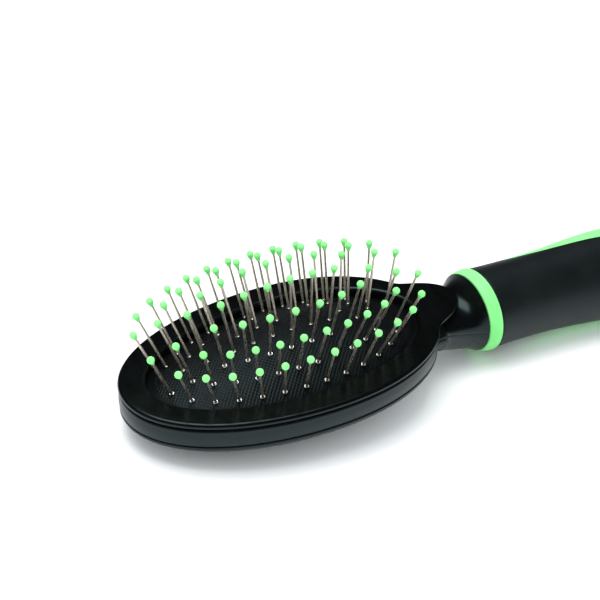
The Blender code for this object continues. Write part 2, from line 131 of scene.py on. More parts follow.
NECK_STATIONS = (
    # x, half width, height over the axis, depth under it, seam over the axis, turn to the handle's frame
    (46.9, 10.3, 6.2, 3.0, 0.97, 0.0),
    (50.8, 10.2, 6.6, 7.0, 1.26, 0.1),
    (53.8, 10.1, 6.9, 9.3, 0.8, 0.2),
    (58.0, 10.3, 7.0, 10.6, 0.0, 0.4),
    (61.0, 10.7, 7.2, 11.1, -0.3, 0.6),
    (63.4, 11.3, 8.3, 11.6, -0.4, 0.8),
    (65.3, 12.0, 10.3, 12.2, -0.4, 0.9),
    (67.05, 13.0, 13.0, 13.0, -0.4, 1.0),
)

LOOP_POINTS = 240
BRUSH_MID_X = (HANDLE_END - HEAD_A * math.cos(HEAD_PITCH)) / 2
HEAD_PLACE = Matrix.Translation((-BRUSH_MID_X, 0, FACE_HEIGHT)) @ Matrix.Rotation(-HEAD_PITCH, 4, "Y")
HANDLE_PLACE = Matrix.Translation((-BRUSH_MID_X, 0, BELLY_RADIUS))

# Camera and light
CAMERA_AZIMUTH = math.radians(-33.866)
CAMERA_ELEVATION = math.radians(32.615)
CAMERA_ROLL = math.radians(6.224)
CAMERA_DISTANCE = 0.42647
CAMERA_TARGET = Vector((-0.04391, 0.01837, 0.02125))
CAMERA_LENS = 82.0
ROOM_LIGHT = 1.3
SOFTBOX_PLACE = (-0.2, 0.2, 1.2)
SOFTBOX_SIZE = (1.0, 0.8)
SOFTBOX_WATTS = 13

COOL = (0.7, 0.95, 1.0, 1.0)      # the faint blue-green of the black plastics' shine


# Materials -------------------------------------------------------------------------------------------

class Finish:
    """A Principled material with short calls for the nodes that the finishes here are made of."""

    def __init__(self, name, **sockets):
        self.material = bpy.data.materials.new(name)
        self.material.use_nodes = True
        self.tree = self.material.node_tree
        self.shader = self.tree.nodes["Principled BSDF"]
        for socket, value in sockets.items():
            self.shader.inputs[socket.replace("_", " ")].default_value = value
        self.place = self.tree.nodes.new("ShaderNodeTexCoord").outputs["Object"]

    def link(self, source, target):
        self.tree.links.new(source, target)

    def stretched(self, scale):
        node = self.tree.nodes.new("ShaderNodeMapping")
        node.inputs["Scale"].default_value = scale
        self.link(self.place, node.inputs["Vector"])
        return node.outputs["Vector"]

    def noise(self, scale, detail=3.0, rough=0.5, vector=None):
        node = self.tree.nodes.new("ShaderNodeTexNoise")
        node.inputs["Scale"].default_value = scale
        node.inputs["Detail"].default_value = detail
        node.inputs["Roughness"].default_value = rough
        self.link(vector or self.place, node.inputs["Vector"])
        return node.outputs["Fac"]

    def cells(self, scale):
        node = self.tree.nodes.new("ShaderNodeTexVoronoi")
        node.inputs["Scale"].default_value = scale
        self.link(self.place, node.inputs["Vector"])
        return node.outputs["Distance"]

    def edges(self):
        """Where the surface bends outwards, as on a worn edge."""
        return self.tree.nodes.new("ShaderNodeNewGeometry").outputs["Pointiness"]

    def attribute(self, name):
        node = self.tree.nodes.new("ShaderNodeAttribute")
        node.attribute_name = name
        return node.outputs["Fac"]

    def spread(self, source, low, high, out_low=0.0, out_high=1.0):
        node = self.tree.nodes.new("ShaderNodeMapRange")
        limits = {"From Min": low, "From Max": high, "To Min": out_low, "To Max": out_high}
        for socket, value in limits.items():
            node.inputs[socket].default_value = value
        self.link(source, node.inputs["Value"])
        return node.outputs["Result"]

    def combine(self, kind, first, second):
        node = self.tree.nodes.new("ShaderNodeMath")
        node.operation = kind
        for socket, value in zip(node.inputs, (first, second)):
            if isinstance(value, (int, float)):
                socket.default_value = value
            else:
                self.link(value, socket)
        return node.outputs["Value"]

    def colours(self, source, *stops):
        """Colour along a ramp; each stop is (place, colour)."""
        node = self.tree.nodes.new("ShaderNodeValToRGB")
        ramp = node.color_ramp
        while len(ramp.elements) < len(stops):
            ramp.elements.new(0.5)
        for element, (place, colour) in zip(ramp.elements, stops):
            element.position = place
            element.color = (*colour, 1)
        self.link(source, node.inputs["Fac"])
        return node.outputs["Color"]

    def paint(self, colour):
        self.link(colour, self.shader.inputs["Base Color"])

    def roughen(self, value):
        self.link(value, self.shader.inputs["Roughness"])

    def bump(self, height, distance, strength=1.0):
        node = self.tree.nodes.new("ShaderNodeBump")
        node.inputs["Distance"].default_value = distance
        node.inputs["Strength"].default_value = strength
        self.link(height, node.inputs["Height"])
        previous = self.shader.inputs["Normal"].links
        if previous:
            self.link(previous[0].from_socket, node.inputs["Normal"])
        self.link(node.outputs["Normal"], self.shader.inputs["Normal"])


def black_plastic(name, dark, light, rough_low, rough_high, grain, grain_depth, specular):
    """Moulded black plastic: a broad change of gloss, a fine moulded grain and faint lengthwise scuffs."""
    finish = Finish(name, Specular_IOR_Level=specular, Specular_Tint=COOL)
    broad = finish.noise(28, 2)
    scuffs = finish.noise(420, 4, 0.65, finish.stretched((1.0, 0.16, 1.0)))
    worn = finish.spread(finish.edges(), 0.5, 0.66, 0.0, 0.35)
    finish.paint(finish.colours(finish.combine("ADD", finish.combine("MULTIPLY", scuffs, 0.9), worn),
                                (0.3, dark), (0.6, light), (1.0, [2.2 * c for c in light])))
    patches = finish.combine("ADD", finish.combine("MULTIPLY", broad, 0.75),
                             finish.combine("MULTIPLY", scuffs, 0.25))
    finish.roughen(finish.spread(patches, 0.35, 0.65, rough_low, rough_high))
    finish.bump(finish.noise(grain, 2), grain_depth)
    return finish.material


def rubber():
    """Black rubber: the raised squares of its weave are painted paler, as lit tops, and are smoother than
    the grooves, which are painted darker, as shade.
    """
    finish = Finish("rubber_weave", Specular_IOR_Level=0.18, Specular_Tint=COOL)
    raised = finish.attribute("weave")
    mottled = finish.combine("MULTIPLY", finish.noise(220, 4), 0.5)
    # Painted light: the weave mask paints the raised squares paler as lit tops. The grooves get the dark end
    # as painted shade, and so do the plain patches and the rim.
    finish.paint(finish.colours(finish.combine("ADD", finish.combine("MULTIPLY", raised, 0.5), mottled),
                                (0.15, (0.0008, 0.0009, 0.0009)), (0.5, (0.002, 0.0022, 0.0023)),
                                (0.9, (0.008, 0.0086, 0.009))))
    finish.roughen(finish.spread(finish.combine("SUBTRACT", raised, mottled), -0.4, 0.9, 0.55, 0.24))
    finish.bump(finish.noise(5200, 2), 0.03 * MM)
    return finish.material


def soft_grip():
    """Soft-touch coating: matt, faintly mottled, with a velvety sheen."""
    finish = Finish("soft_grip", Specular_IOR_Level=0.24, Specular_Tint=COOL, Sheen_Weight=0.03,
                    Sheen_Roughness=0.45)
    mottled = finish.noise(70, 5, 0.65)
    rubbed = finish.spread(finish.edges(), 0.52, 0.62)
    finish.paint(finish.colours(finish.combine("ADD", mottled, rubbed),
                                (0.3, (0.0035, 0.0045, 0.005)), (0.7, (0.006, 0.0075, 0.008)),
                                (1.0, (0.02, 0.022, 0.022))))
    finish.roughen(finish.spread(mottled, 0.3, 0.7, 0.42, 0.52))
    finish.bump(finish.noise(3400, 3), 0.03 * MM)
    finish.bump(finish.noise(900, 2), 0.02 * MM)
    return finish.material


def mint(name, dark, light):
    """Mint green plastic, a little see-into, with faint flow clouds."""
    finish = Finish(name, Specular_IOR_Level=0.16, Subsurface_Weight=0.12, Subsurface_Scale=0.0012)
    clouds = finish.noise(120, 4)
    finish.paint(finish.colours(clouds, (0.3, dark), (0.7, light)))
    finish.roughen(finish.spread(finish.noise(420, 3), 0.3, 0.7, 0.4, 0.55))
    finish.bump(finish.noise(1600, 2), 0.015 * MM)
    return finish.material


def metal(name, dark, light, metallic, rough_low, rough_high):
    """Plated steel, with faint drawing marks."""
    finish = Finish(name, Metallic=metallic)
    marks = finish.noise(1400, 3, 0.6, finish.stretched((1.0, 1.0, 0.06)))
    finish.paint(finish.colours(marks, (0.3, dark), (0.7, light)))
    finish.roughen(finish.spread(marks, 0.3, 0.7, rough_low, rough_high))
    finish.bump(marks, 0.002 * MM)
    return finish.material


def hidden_plastic():
    finish = Finish("inner_plastic", Specular_IOR_Level=0.4)
    clouds = finish.noise(160, 4)
    finish.paint(finish.colours(clouds, (0.3, (0.035, 0.035, 0.037)), (0.7, (0.06, 0.06, 0.062))))
    finish.roughen(finish.spread(clouds, 0.3, 0.7, 0.5, 0.66))
    finish.bump(finish.cells(1500), 0.03 * MM)
    return finish.material


# Mesh helpers ----------------------------------------------------------------------------------------

def loft(bm, loops, ring=False):
    """Skin from loop to loop. ring joins the last loop to the first; otherwise both ends are filled."""
    rows = [[bm.verts.new(p) for p in loop] for loop in loops]
    pairs = list(zip(rows, rows[1:]))
    if ring:
        pairs.append((rows[-1], rows[0]))
    for low, high in pairs:
        for i in range(len(low)):
            j = (i + 1) % len(low)
            bm.faces.new((low[i], low[j], high[j], high[i]))
    if not ring:
        bm.faces.new(rows[0][::-1])
        bm.faces.new(rows[-1])
    return rows


def piece(name, bm, place, materials, body, replaced=(), sharp=38.0, pick=None):
    """Turns a bmesh into a finished piece. pick(face centre) chooses among several materials."""
    bmesh.ops.remove_doubles(bm, verts=bm.verts, dist=1e-7)
    bmesh.ops.recalc_face_normals(bm, faces=bm.faces)
    if pick:
        for face in bm.faces:
            face.material_index = pick(face.calc_center_median())
    mesh = bpy.data.meshes.new(name)
    bm.to_mesh(mesh)
    bm.free()
    mesh.transform(place)
    mesh.shade_smooth()
    mesh.set_sharp_from_angle(angle=math.radians(sharp))
    for material in materials:
        mesh.materials.append(material)
    obj = bpy.data.objects.new(name, mesh)
    bpy.context.scene.collection.objects.link(obj)
    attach(obj, body)
    if replaced:
        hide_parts(*replaced)
    return obj


def united(first, second):
    """One closed skin out of two crossing solids."""
    objects = []
    for bm in (first, second):
        bmesh.ops.recalc_face_normals(bm, faces=bm.faces)
        mesh = bpy.data.meshes.new("join")
        bm.to_mesh(mesh)
        bm.free()
        obj = bpy.data.objects.new("join", mesh)
        bpy.context.scene.collection.objects.link(obj)
        objects.append(obj)
    modifier = objects[0].modifiers.new("join", "BOOLEAN")
    modifier.operation = "UNION"
    modifier.object = objects[1]
    modifier.use_self = True
    graph = bpy.context.evaluated_depsgraph_get()
    mesh = bpy.data.meshes.new_from_object(objects[0].evaluated_get(graph))
    bm = bmesh.new()
    bm.from_mesh(mesh)
    for obj in objects:
        bpy.data.objects.remove(obj, do_unlink=True)
    return bm


def smooth_rows(rows, per_span):
    """A Catmull-Rom curve through rows of numbers, per_span steps between each two."""
    def between(a, b, c, d, t):
        square = (2 * a - 5 * b + 4 * c - d) * t * t
        return 0.5 * (2 * b + (c - a) * t + square + (3 * b - a - 3 * c + d) * t ** 3)

    fine = []
    for k in range(len(rows) - 1):
        p0, p1, p2, p3 = (rows[min(max(k + d, 0), len(rows) - 1)] for d in (-1, 0, 1, 2))
        for i in range(per_span):
            t = i / per_span
            fine.append([between(a, b, c, d, t) for a, b, c, d in zip(p0, p1, p2, p3)])
    fine.append(list(rows[-1]))
    return fine


def spread(first, last, count):
    return [first + (last - first) * i / (count - 1) for i in range(count)]


# Head shapes -----------------------------------------------------------------------------------------

def oval_radius(angle, a, b, trim=0.0):
    a *= 1 - trim * max(math.cos(angle), 0.0) ** 2
    c, s = abs(math.cos(angle)) / a, abs(math.sin(angle)) / (b * (1 + EGG * math.cos(angle)))
    return (c ** OVAL_POWER + s ** OVAL_POWER) ** (-1 / OVAL_POWER)


def tongue_radius(angle, grow):
    a, b = TONGUE_A + grow, TONGUE_B + grow
    c, s = math.cos(angle), math.sin(angle)
    square = (c / a) ** 2 + (s / b) ** 2
    half = c * TONGUE_CENTRE / a ** 2
    rest = half ** 2 - square * ((TONGUE_CENTRE / a) ** 2 - 1)
    if rest <= 0 or c <= 0:
        return 0.0
    return (half + math.sqrt(rest)) / square


def oval_loop(a, b, z, tongue=None, trim=0.0):
    """An oval, or the face plate's outline with the tongue blended in where tongue, its growth, is given."""
    points = []
    for i in range(LOOP_POINTS):
        angle = 2 * math.pi * i / LOOP_POINTS
        radius = oval_radius(angle, a, b, trim)
        if tongue is not None:
            power = TONGUE_BLEND
            radius = (radius ** power + tongue_radius(angle, tongue) ** power) ** (1 / power)
        points.append((radius * math.cos(angle), radius * math.sin(angle), z))
    return points


def shell_loop(a, b, z, tongue=None):
    """A loop of the head's own outline, which is a little shorter towards the neck."""
    return oval_loop(a, b, z, tongue, trim=NECK_TRIM)


def inset(depth, z, tongue=False):
    """The head's outline, that many mm inside, at a height in mm."""
    return shell_loop(HEAD_A - depth * MM, HEAD_B - depth * MM, z * MM, -depth * MM if tongue else None)


def quarter(radius, steps=8):
    """Offsets (sideways, down) in mm of a rounded edge, from its upright face to its level one."""
    angles = [math.pi / 2 * i / steps for i in range(steps + 1)]
    return [(radius * (1 - math.cos(a)), radius * (1 - math.sin(a))) for a in angles]


def make_rim_plate(material):
    """Glossy rim plate: a rounded lip into the well, a rounded nose outside, and an undercut below it."""
    bm = bmesh.new()
    lip, nose = 1.3, 1.05
    loops = [oval_loop(OPENING_A, OPENING_B, -LIP_DEPTH)]
    for side, down in quarter(lip):
        loops.append(oval_loop(OPENING_A + side * MM, OPENING_B + side * MM, -down * MM))
    for side, down in reversed(quarter(nose)):
        loops.append(inset(side, -down, tongue=True))
    for depth, z in ((0.04, -1.25), (0.2, -1.5), (0.5, -1.75), (0.9, -1.93), (1.4, -2.0)):
        loops.append(inset(depth, z, tongue=True))
    loops.append(oval_loop(WELL_A - GAP, WELL_B - GAP, -PLATE_THICK))
    loops.append(oval_loop(WELL_A - GAP, WELL_B - GAP, -LIP_DEPTH))
    loft(bm, loops, ring=True)
    piece("rim_plate", bm, HEAD_PLACE, [material], "head_and_handle", ["face_plate"])


def neck_frame(x, turn):
    """A neck station's centre on the handle's axis, and its up direction, in the head's frame."""
    drop = FACE_HEIGHT - BELLY_RADIUS
    start = Matrix.Rotation(HEAD_PITCH, 4, "Y") @ Vector((RING_START, 0, -drop))
    centre = Vector((x, 0, start.z + (start.x - x) * math.tan(HEAD_PITCH)))
    lean = (HEAD_PITCH - math.atan(COLLAR_SLANT)) * turn
    return centre, Vector((math.sin(lean), 0, math.cos(lean)))


def neck_arc(wide, over, under, level, side, steps=48):
    """Half of an oval section on one side of its seam's level, as (across, up) pairs."""
    start = math.asin(level / over) * side
    points = []
    for i in range(steps + 1):
        angle = start + (math.pi - 2 * start) * i / steps
        rise = side * math.sin(angle)
        points.append((wide * math.cos(angle), rise * (over if rise > 0 else under)))
    return points


def neck_half(upper):
    """Half of the neck's shell. It swells a little where it leaves the head, and its seam edge is eased."""
    side = 1 if upper else -1
    bore = SPIGOT_RADIUS + GAP
    wall = SPIGOT_START - 1.3 * MM
    seam_gap, ease = 0.1 * MM, 0.16 * MM
    rows = [[value * MM for value in row[:5]] + [row[5]] for row in NECK_STATIONS]
    rows = smooth_rows(rows, 8)
    after = next(i for i, row in enumerate(rows) if row[0] > wall)
    plan = [(row, False) for row in rows[:after]] + [(rows[after - 1], True)]
    plan += [(row, True) for row in rows[after:]]
    bm = bmesh.new()
    loops = []
    for (x, wide, over, under, seam, turn), hollow in plan:
        centre, up = neck_frame(x, turn)
        swell = NECK_SWELL * math.exp(-max(x - SWELL_START, 0.0) / NECK_SWELL)
        level = seam + side * seam_gap / 2
        outer = neck_arc(wide + swell, over, under + 0.5 * swell, level, side)
        pull = 1 - ease / wide
        outer[0] = (outer[0][0] * pull, outer[0][1])
        outer[-1] = (outer[-1][0] * pull, outer[-1][1])
        inner = neck_arc(bore, bore, bore, level, side)[::-1]
        if not hollow:
            inner = [(across, level) for across, _ in inner]
        loops.append([centre + Vector((0, across, 0)) + up * rise for across, rise in outer + inner])
    loft(bm, loops)
    return bm


def on_neck(centre):
    """1, the neck's own gloss, on the neck and on the part of it that starts under the head; otherwise 0."""
    outside = (centre.x / HEAD_A) ** 2 + (centre.y / HEAD_B) ** 2 > 1.0
    root = centre.x > 51.0 * MM and abs(centre.y) < 11.0 * MM and centre.z < -3.0 * MM
    return 1 if centre.x > 53.2 * MM or (root and outside) else 0


def make_side_wall(satin, gloss):
    """Side wall with a faint belly, a groove under the rim plate, and the neck's upper half."""
    bm = bmesh.new()
    top, foot = -PLATE_THICK / MM - 0.3, SEAM_Z / MM
    profile = [(1.5, top), (0.95, top), (0.62, top - 0.1), (0.38, top - 0.32), (0.26, top - 0.65)]
    for t in spread(0, 1, 9):
        profile.append((0.26 - 0.16 * math.sin(math.pi * t), top - 1.0 + (foot + 1.55 - top) * t))
    profile += [(0.28, foot + 0.34), (0.36, foot + 0.2), (0.5, foot + 0.12), (0.75, foot + 0.03)]
    loops = [oval_loop(WELL_A, WELL_B, top * MM)] + [inset(depth, z) for depth, z in profile]
    loops += [
        oval_loop(BORE_A, BORE_B, SEAM_Z + 0.03 * MM),
        oval_loop(BORE_A, BORE_B, LEDGE_Z),
        oval_loop(WELL_A, WELL_B, LEDGE_Z),
    ]
    loft(bm, loops, ring=True)
    bm = united(bm, neck_half(True))
    piece("side_wall", bm, HEAD_PLACE, [satin, gloss], "head_and_handle", ["head_body"],
          pick=on_neck)


def make_back_dome(satin, gloss):
    """Domed back with the neck's lower half; it is level where it stands."""
    bm = bmesh.new()
    outer_a, outer_b = HEAD_A - 0.3 * MM, HEAD_B - 0.2 * MM
    top = SEAM_Z - 0.03 * MM
    board_floor = SEAM_Z - GAP / 2 - BOARD_THICK - GAP
    loops = []
    for s in (0.2, 0.38, 0.55, 0.7, 0.82, 0.91):
        height = min(BAND_Z - DOME_DEPTH * (1 - s * s) ** DOME_POWER + SHELL_WALL, board_floor - 0.5 * MM)
        loops.append(shell_loop(s * (outer_a - SHELL_WALL), s * (outer_b - SHELL_WALL), height))
    for depth, z in ((RIM_WALL + 1.6 * MM, board_floor), (RIM_WALL, board_floor), (RIM_WALL, top),
                     (0.5 * MM, top), (0.22 * MM, top - 0.1 * MM), (0.06 * MM, top - 0.22 * MM),
                     (0.0, top - 0.42 * MM)):
        loops.append(shell_loop(outer_a - depth, outer_b - depth, z))
    for degrees in spread(0, 86, 30):
        s = math.cos(math.radians(degrees))
        height = BAND_Z - DOME_DEPTH * math.sin(math.radians(degrees)) ** (2 * DOME_POWER)
        loops.append(shell_loop(s * outer_a, s * outer_b, height))
    loft(bm, loops)
    bm = united(bm, neck_half(False))
    to_head = HEAD_PLACE.inverted()
    for vertex in bm.verts:
        place = HEAD_PLACE @ vertex.co
        if place.z < 0:
            place.z = 0
            vertex.co = to_head @ place
    piece("back_dome", bm, HEAD_PLACE, [satin, gloss], "head_and_handle", ["back_shell"],
          pick=on_neck)


# Pins and cushion ------------------------------------------------------------------------------------

def pad_z(x, y):
    share = (x / OPENING_A) ** 2 + (y / OPENING_B) ** 2
    return PAD_CROWN_Z + (PAD_RIM_Z - PAD_CROWN_Z) * min(share, 1.0)


def pad_normal(x, y):
    fall = 2 * (PAD_CROWN_Z - PAD_RIM_Z)
    return Vector((fall * x / OPENING_A ** 2, fall * y / OPENING_B ** 2, 1)).normalized()


def ring_places(count, a, b, start):
    """Places spaced evenly along an oval."""
    fine = 1440
    path = []
    for i in range(fine + 1):
        angle = 2 * math.pi * i / fine
        radius = oval_radius(angle, a, b)
        path.append(Vector((radius * math.cos(angle), radius * math.sin(angle))))
    along = [0.0]
    for p, q in zip(path, path[1:]):
        along.append(along[-1] + (q - p).length)
    places = []
    k = 0
    for i in range(count):
        target = (i + start) / count * along[-1]
        while along[k + 1] < target:
            k += 1
        share = (target - along[k]) / (along[k + 1] - along[k])
        places.append(path[k].lerp(path[k + 1], share))
    return places


def pin_groups():
    groups = [(name, ring_places(count, a, b, start)) for name, count, a, b, start in PIN_RINGS]
    groups.append(("centre", [Vector((CENTRE_START + i * CENTRE_PITCH, 0)) for i in range(CENTRE_COUNT)]))
    shift = Vector((PIN_SHIFT, 0))
    return [(name, [place + shift for place in places]) for name, places in groups]


def pin_line(place):
    base = Vector((place.x, place.y, pad_z(place.x, place.y)))
    along = FAN_SHIFT + FAN_X * place.x + FAN_SKEW * place.y + FAN_BOW * place.y ** 2
    across = FAN_SIDE * math.tanh(place.y / FAN_SPREAD)
    return base, Vector((along, across, 1)).normalized()


def turned(bm, base, axis, profile, sides, ring=False):
    """A turned solid along axis from base; profile is (distance along, radius)."""
    side = axis.cross(Vector((0, 1, 0))).normalized()
    other = axis.cross(side)
    loops = []
    for along, radius in profile:
        loop = []
        for i in range(sides):
            angle = 2 * math.pi * i / sides
            rim = side * radius * math.cos(angle) + other * radius * math.sin(angle)
            loop.append(base + axis * along + rim)
        loops.append(loop)
    loft(bm, loops, ring=ring)


def backing_strip(bm, path, closed):
    """The narrow band under the pad that the pins of one ring are fixed in."""
    rows = []
    for i, place in enumerate(path):
        back = path[i - 1] if closed or i else place
        ahead = path[(i + 1) % len(path)] if closed or i + 1 < len(path) else place
        side = Vector((ahead.y - back.y, back.x - ahead.x)).normalized() * STRIP_HALF_WIDTH
        row = []
        for edge, depth in ((-1, 0), (1, 0), (1, STRIP_THICK), (-1, STRIP_THICK)):
            spot = place + side * edge
            row.append((spot.x, spot.y, pad_z(spot.x, spot.y) - STRIP_TOP - depth))
        rows.append(row)
    loft(bm, rows, ring=closed)


def eyelet_profile():
    """The rolled edge of the eyelet that a pin stands in, with its barrel going down through the pad."""
    middle, roll = 0.58 * MM, 0.17 * MM
    profile = [(-1.5 * MM, middle - roll), (-1.5 * MM, middle + 0.05 * MM), (-0.3 * MM, middle + 0.05 * MM)]
    for degrees in spread(-20, 200, 8):
        angle = math.radians(degrees)
        profile.append((0.1 * MM + roll * math.sin(angle), middle + roll * math.cos(angle)))
    return profile


def on_eyelet(centre):
    """1, the brighter metal, on the eyelets; 0 on the wires."""
    return 1 if centre.z < pad_z(centre.x, centre.y) + 0.4 * MM else 0


def tip_profile():
    """The tip: a ball that draws out to a short neck down the wire."""
    profile = [(-1.75, 0.42), (-1.66, 0.52), (-1.35, 0.6), (-1.05, 0.72), (-0.8, 0.83)]
    profile = [(PIN_REACH + along * MM, radius * MM) for along, radius in profile]
    for degrees in (62, 71, 80, 91, 103, 115, 127, 139, 151, 163, 173):
        angle = math.radians(degrees)
        profile.append((PIN_REACH - TIP_RADIUS * math.cos(angle), TIP_RADIUS * math.sin(angle)))
    return profile


def make_pins(steel, bright, tips_material):
    draw = random.Random(7)
    for name, places in pin_groups():
        wires, tips = bmesh.new(), bmesh.new()
        for place in places:
            base, lean = pin_line(place)
            stray = Vector((draw.uniform(-WOBBLE, WOBBLE), draw.uniform(-WOBBLE, WOBBLE), 0))
            lean = (lean + stray).normalized()
            foot = (STRIP_TOP + STRIP_THICK + 0.25 * MM) / lean.dot(pad_normal(place.x, place.y))
            turned(wires, base, lean, (
                (-foot, 0.7 * MM), (-foot + 0.22 * MM, 0.7 * MM), (-foot + 0.3 * MM, PIN_RADIUS),
                (PIN_REACH * 0.3, PIN_RADIUS), (PIN_REACH * 0.6, PIN_RADIUS), (PIN_REACH, PIN_RADIUS * 0.9),
            ), 12)
            turned(wires, base, lean, eyelet_profile(), 20, ring=True)
            turned(tips, base, lean, tip_profile(), 24)
        closed = name != "centre"
        path = places
        if not closed:
            reach = Vector((STRIP_HALF_WIDTH, 0))
            path = [places[0] - reach] + places + [places[-1] + reach]
        backing_strip(wires, path, closed)
        body = "pin_field_" + name
        piece("wires_" + name, wires, HEAD_PLACE, [steel, bright], body, ["pins_" + name],
              pick=on_eyelet)
        piece("tips_" + name, tips, HEAD_PLACE, [tips_material], body, sharp=60)


def groove(phase):
    """Depth of one family of grooves, 1 at the bottom, for a place given in pitches."""
    return max(0.0, 1 - 4 * abs(phase - round(phase)))


def make_cushion(material):
    """Domed rubber skin. Its top is a grid along the weave's two directions, which carries the weave."""
    bm = bmesh.new()
    raised = bm.verts.layers.float.new("weave")
    step = WEAVE_PITCH / 4
    slant = step / math.sqrt(2)
    reach = int((OPENING_A + OPENING_B) / step)
    grid = {}
    for i in range(-reach, reach + 1):
        for j in range(-reach, reach + 1):
            x, y = (i - j) * slant, (i + j) * slant
            if math.hypot(x, y) < WEAVE_REACH * oval_radius(math.atan2(y, x), OPENING_A, OPENING_B):
                grid[i, j] = bm.verts.new((x, y, 0))
    for (i, j), corner in grid.items():
        others = [grid.get(key) for key in ((i + 1, j), (i + 1, j + 1), (i, j + 1))]
        if None not in others:
            bm.faces.new([corner] + others)
    edge_loop = oval_loop((WEAVE_REACH + 0.012) * OPENING_A, (WEAVE_REACH + 0.012) * OPENING_B, 0)
    ring = [bm.verts.new(p) for p in edge_loop]
    rim_edges = [edge for edge in bm.edges if len(edge.link_faces) == 1]
    rim_edges += [bm.edges.new((p, ring[(i + 1) % len(ring)])) for i, p in enumerate(ring)]
    bmesh.ops.triangle_fill(bm, edges=rim_edges, use_beauty=True, normal=(0, 0, 1))
    bmesh.ops.delete(bm, geom=[v for v in bm.verts if not v.link_faces and v not in ring], context="VERTS")
    grid = {key: vertex for key, vertex in grid.items() if vertex.is_valid}
    for vertex in ring:
        vertex.co.z = pad_z(vertex.co.x, vertex.co.y)
    plain = {}
    for _, places in pin_groups():
        for place in places:
            middle = [round((place.y + sign * place.x) / (2 * slant)) for sign in (1, -1)]
            for i in range(middle[0] - 7, middle[0] + 8):
                for j in range(middle[1] - 7, middle[1] + 8):
                    away = math.hypot((i - j) * slant - place.x, (i + j) * slant - place.y)
                    share = min(1.0, max(0.0, (PATCH_RADIUS - away) / PATCH_EDGE))
                    plain[i, j] = max(plain.get((i, j), 0.0), share)
    for (i, j), vertex in grid.items():
        x, y = vertex.co.x, vertex.co.y
        share = math.hypot(x, y) / oval_radius(math.atan2(y, x), OPENING_A, OPENING_B)
        fade = min(1.0, max(0.0, (WEAVE_REACH - share) / 0.02)) * (1 - plain.get((i, j), 0.0))
        cut = max(groove(i / 4), groove(j / 4))
        # The weave mask. The rubber uses it to paint the raised squares paler, as lit tops, and the grooves
        # darker, as painted shade.
        vertex[raised] = (1 - cut) * fade
        vertex.co.z = pad_z(x, y) + WEAVE_DEPTH * (0.5 - cut) * fade + 0.06 * MM * plain.get((i, j), 0.0)
    close_cushion(bm, ring)
    cushion = piece("cushion_skin", bm, HEAD_PLACE, [material], "head_and_handle",
                    ["cushion_pad"], sharp=80)
    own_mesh(cushion)


def close_cushion(bm, ring):
    """The cushion's plain rim, its flange under the rim plate, and its underside."""
    foot = PAD_RIM_Z - PAD_THICK
    fall = PAD_CROWN_Z - PAD_RIM_Z
    loops = [oval_loop(s * OPENING_A, s * OPENING_B, PAD_CROWN_Z - fall * s * s) for s in (0.98, 0.992)]
    loops += [
        oval_loop(FLANGE_A, FLANGE_B, PAD_RIM_Z),
        oval_loop(FLANGE_A, FLANGE_B, foot),
    ]
    for s in (1.0, 0.92, 0.8, 0.62, 0.4, 0.12):
        loops.append(oval_loop(s * OPENING_A, s * OPENING_B, PAD_CROWN_Z - PAD_THICK - fall * s * s))
    rows = [ring] + [[bm.verts.new(p) for p in loop] for loop in loops]
    for low, high in zip(rows, rows[1:]):
        for i in range(len(low)):
            j = (i + 1) % len(low)
            bm.faces.new((low[i], low[j], high[j], high[i]))
    bm.faces.new(rows[-1])


# Handle ----------------------------------------------------------------------------------------------

def polar(x, degrees, radius):
    """A point on the handle: degrees are measured from straight up towards +Y."""
    angle = math.radians(degrees)
    return Vector((x, radius * math.sin(angle), radius * math.cos(angle)))


def section(x, degrees, radius):
    """The same on the collar and the grip, whose front leans with the collar and whose top is crowned."""
    point = polar(x, degrees, radius)
    past = max(x - RING_END, 0.0)
    if point.z > 0:
        point.z *= 1 + CROWN * math.sin(math.pi * past / (HANDLE_END - RING_END))
    point.x -= COLLAR_SLANT * point.z * max(1 - past / SLANT_REACH, 0.0)
    return point


def stripe_near_deg(x):
    """The stripe's slanting edge, from straight up; at the front it meets the straight edge."""
    share = (x - STRIPE_TAPER_START) / (STRIPE_TAPER_END - STRIPE_TAPER_START)
    share = min(max(share, 0.04), 1.0)
    return STRIPE_FAR_DEG - STRIPE_WIDE_DEG * share ** 0.8


def grip_stations():
    return [(x * MM, radius * MM) for x, radius in smooth_rows(GRIP_PROFILE, 7)]


def make_collar_ring(material):
    bm = bmesh.new()
    count = 144
    inner = SPIGOT_RADIUS + GAP
    loops = [[section(RING_START, 360 * i / count, inner) for i in range(count)]]
    for share, radius in smooth_rows(RING_PROFILE, 3):
        x = RING_START + share * (RING_END - RING_START)
        loops.append([section(x, 360 * i / count, radius * MM) for i in range(count)])
    loops.append([section(RING_END, 360 * i / count, inner) for i in range(count)])
    loft(bm, loops, ring=True)
    piece("collar_ring", bm, HANDLE_PLACE, [material], "head_and_handle", ["accent_ring"])


def make_core_bar(material):
    """The green bar, which stands out along the two stripes between the panels."""
    bm = bmesh.new()
    loops = []
    for x, radius in grip_stations():
        outer, inner = radius - 0.1 * MM, radius - GRIP_THICK - GAP
        near, far = stripe_near_deg(x), STRIPE_FAR_DEG
        loop = []
        for turn in (0, -180):
            loop += [section(x, turn + a, outer) for a in spread(near, far, 12)]
            loop += [section(x, turn + a, inner) for a in spread(far, near + 180, 28)]
        loops.append(loop)
    loft(bm, loops)
    piece("core_bar", bm, HANDLE_PLACE, [material], "head_and_handle", ["handle_core"])


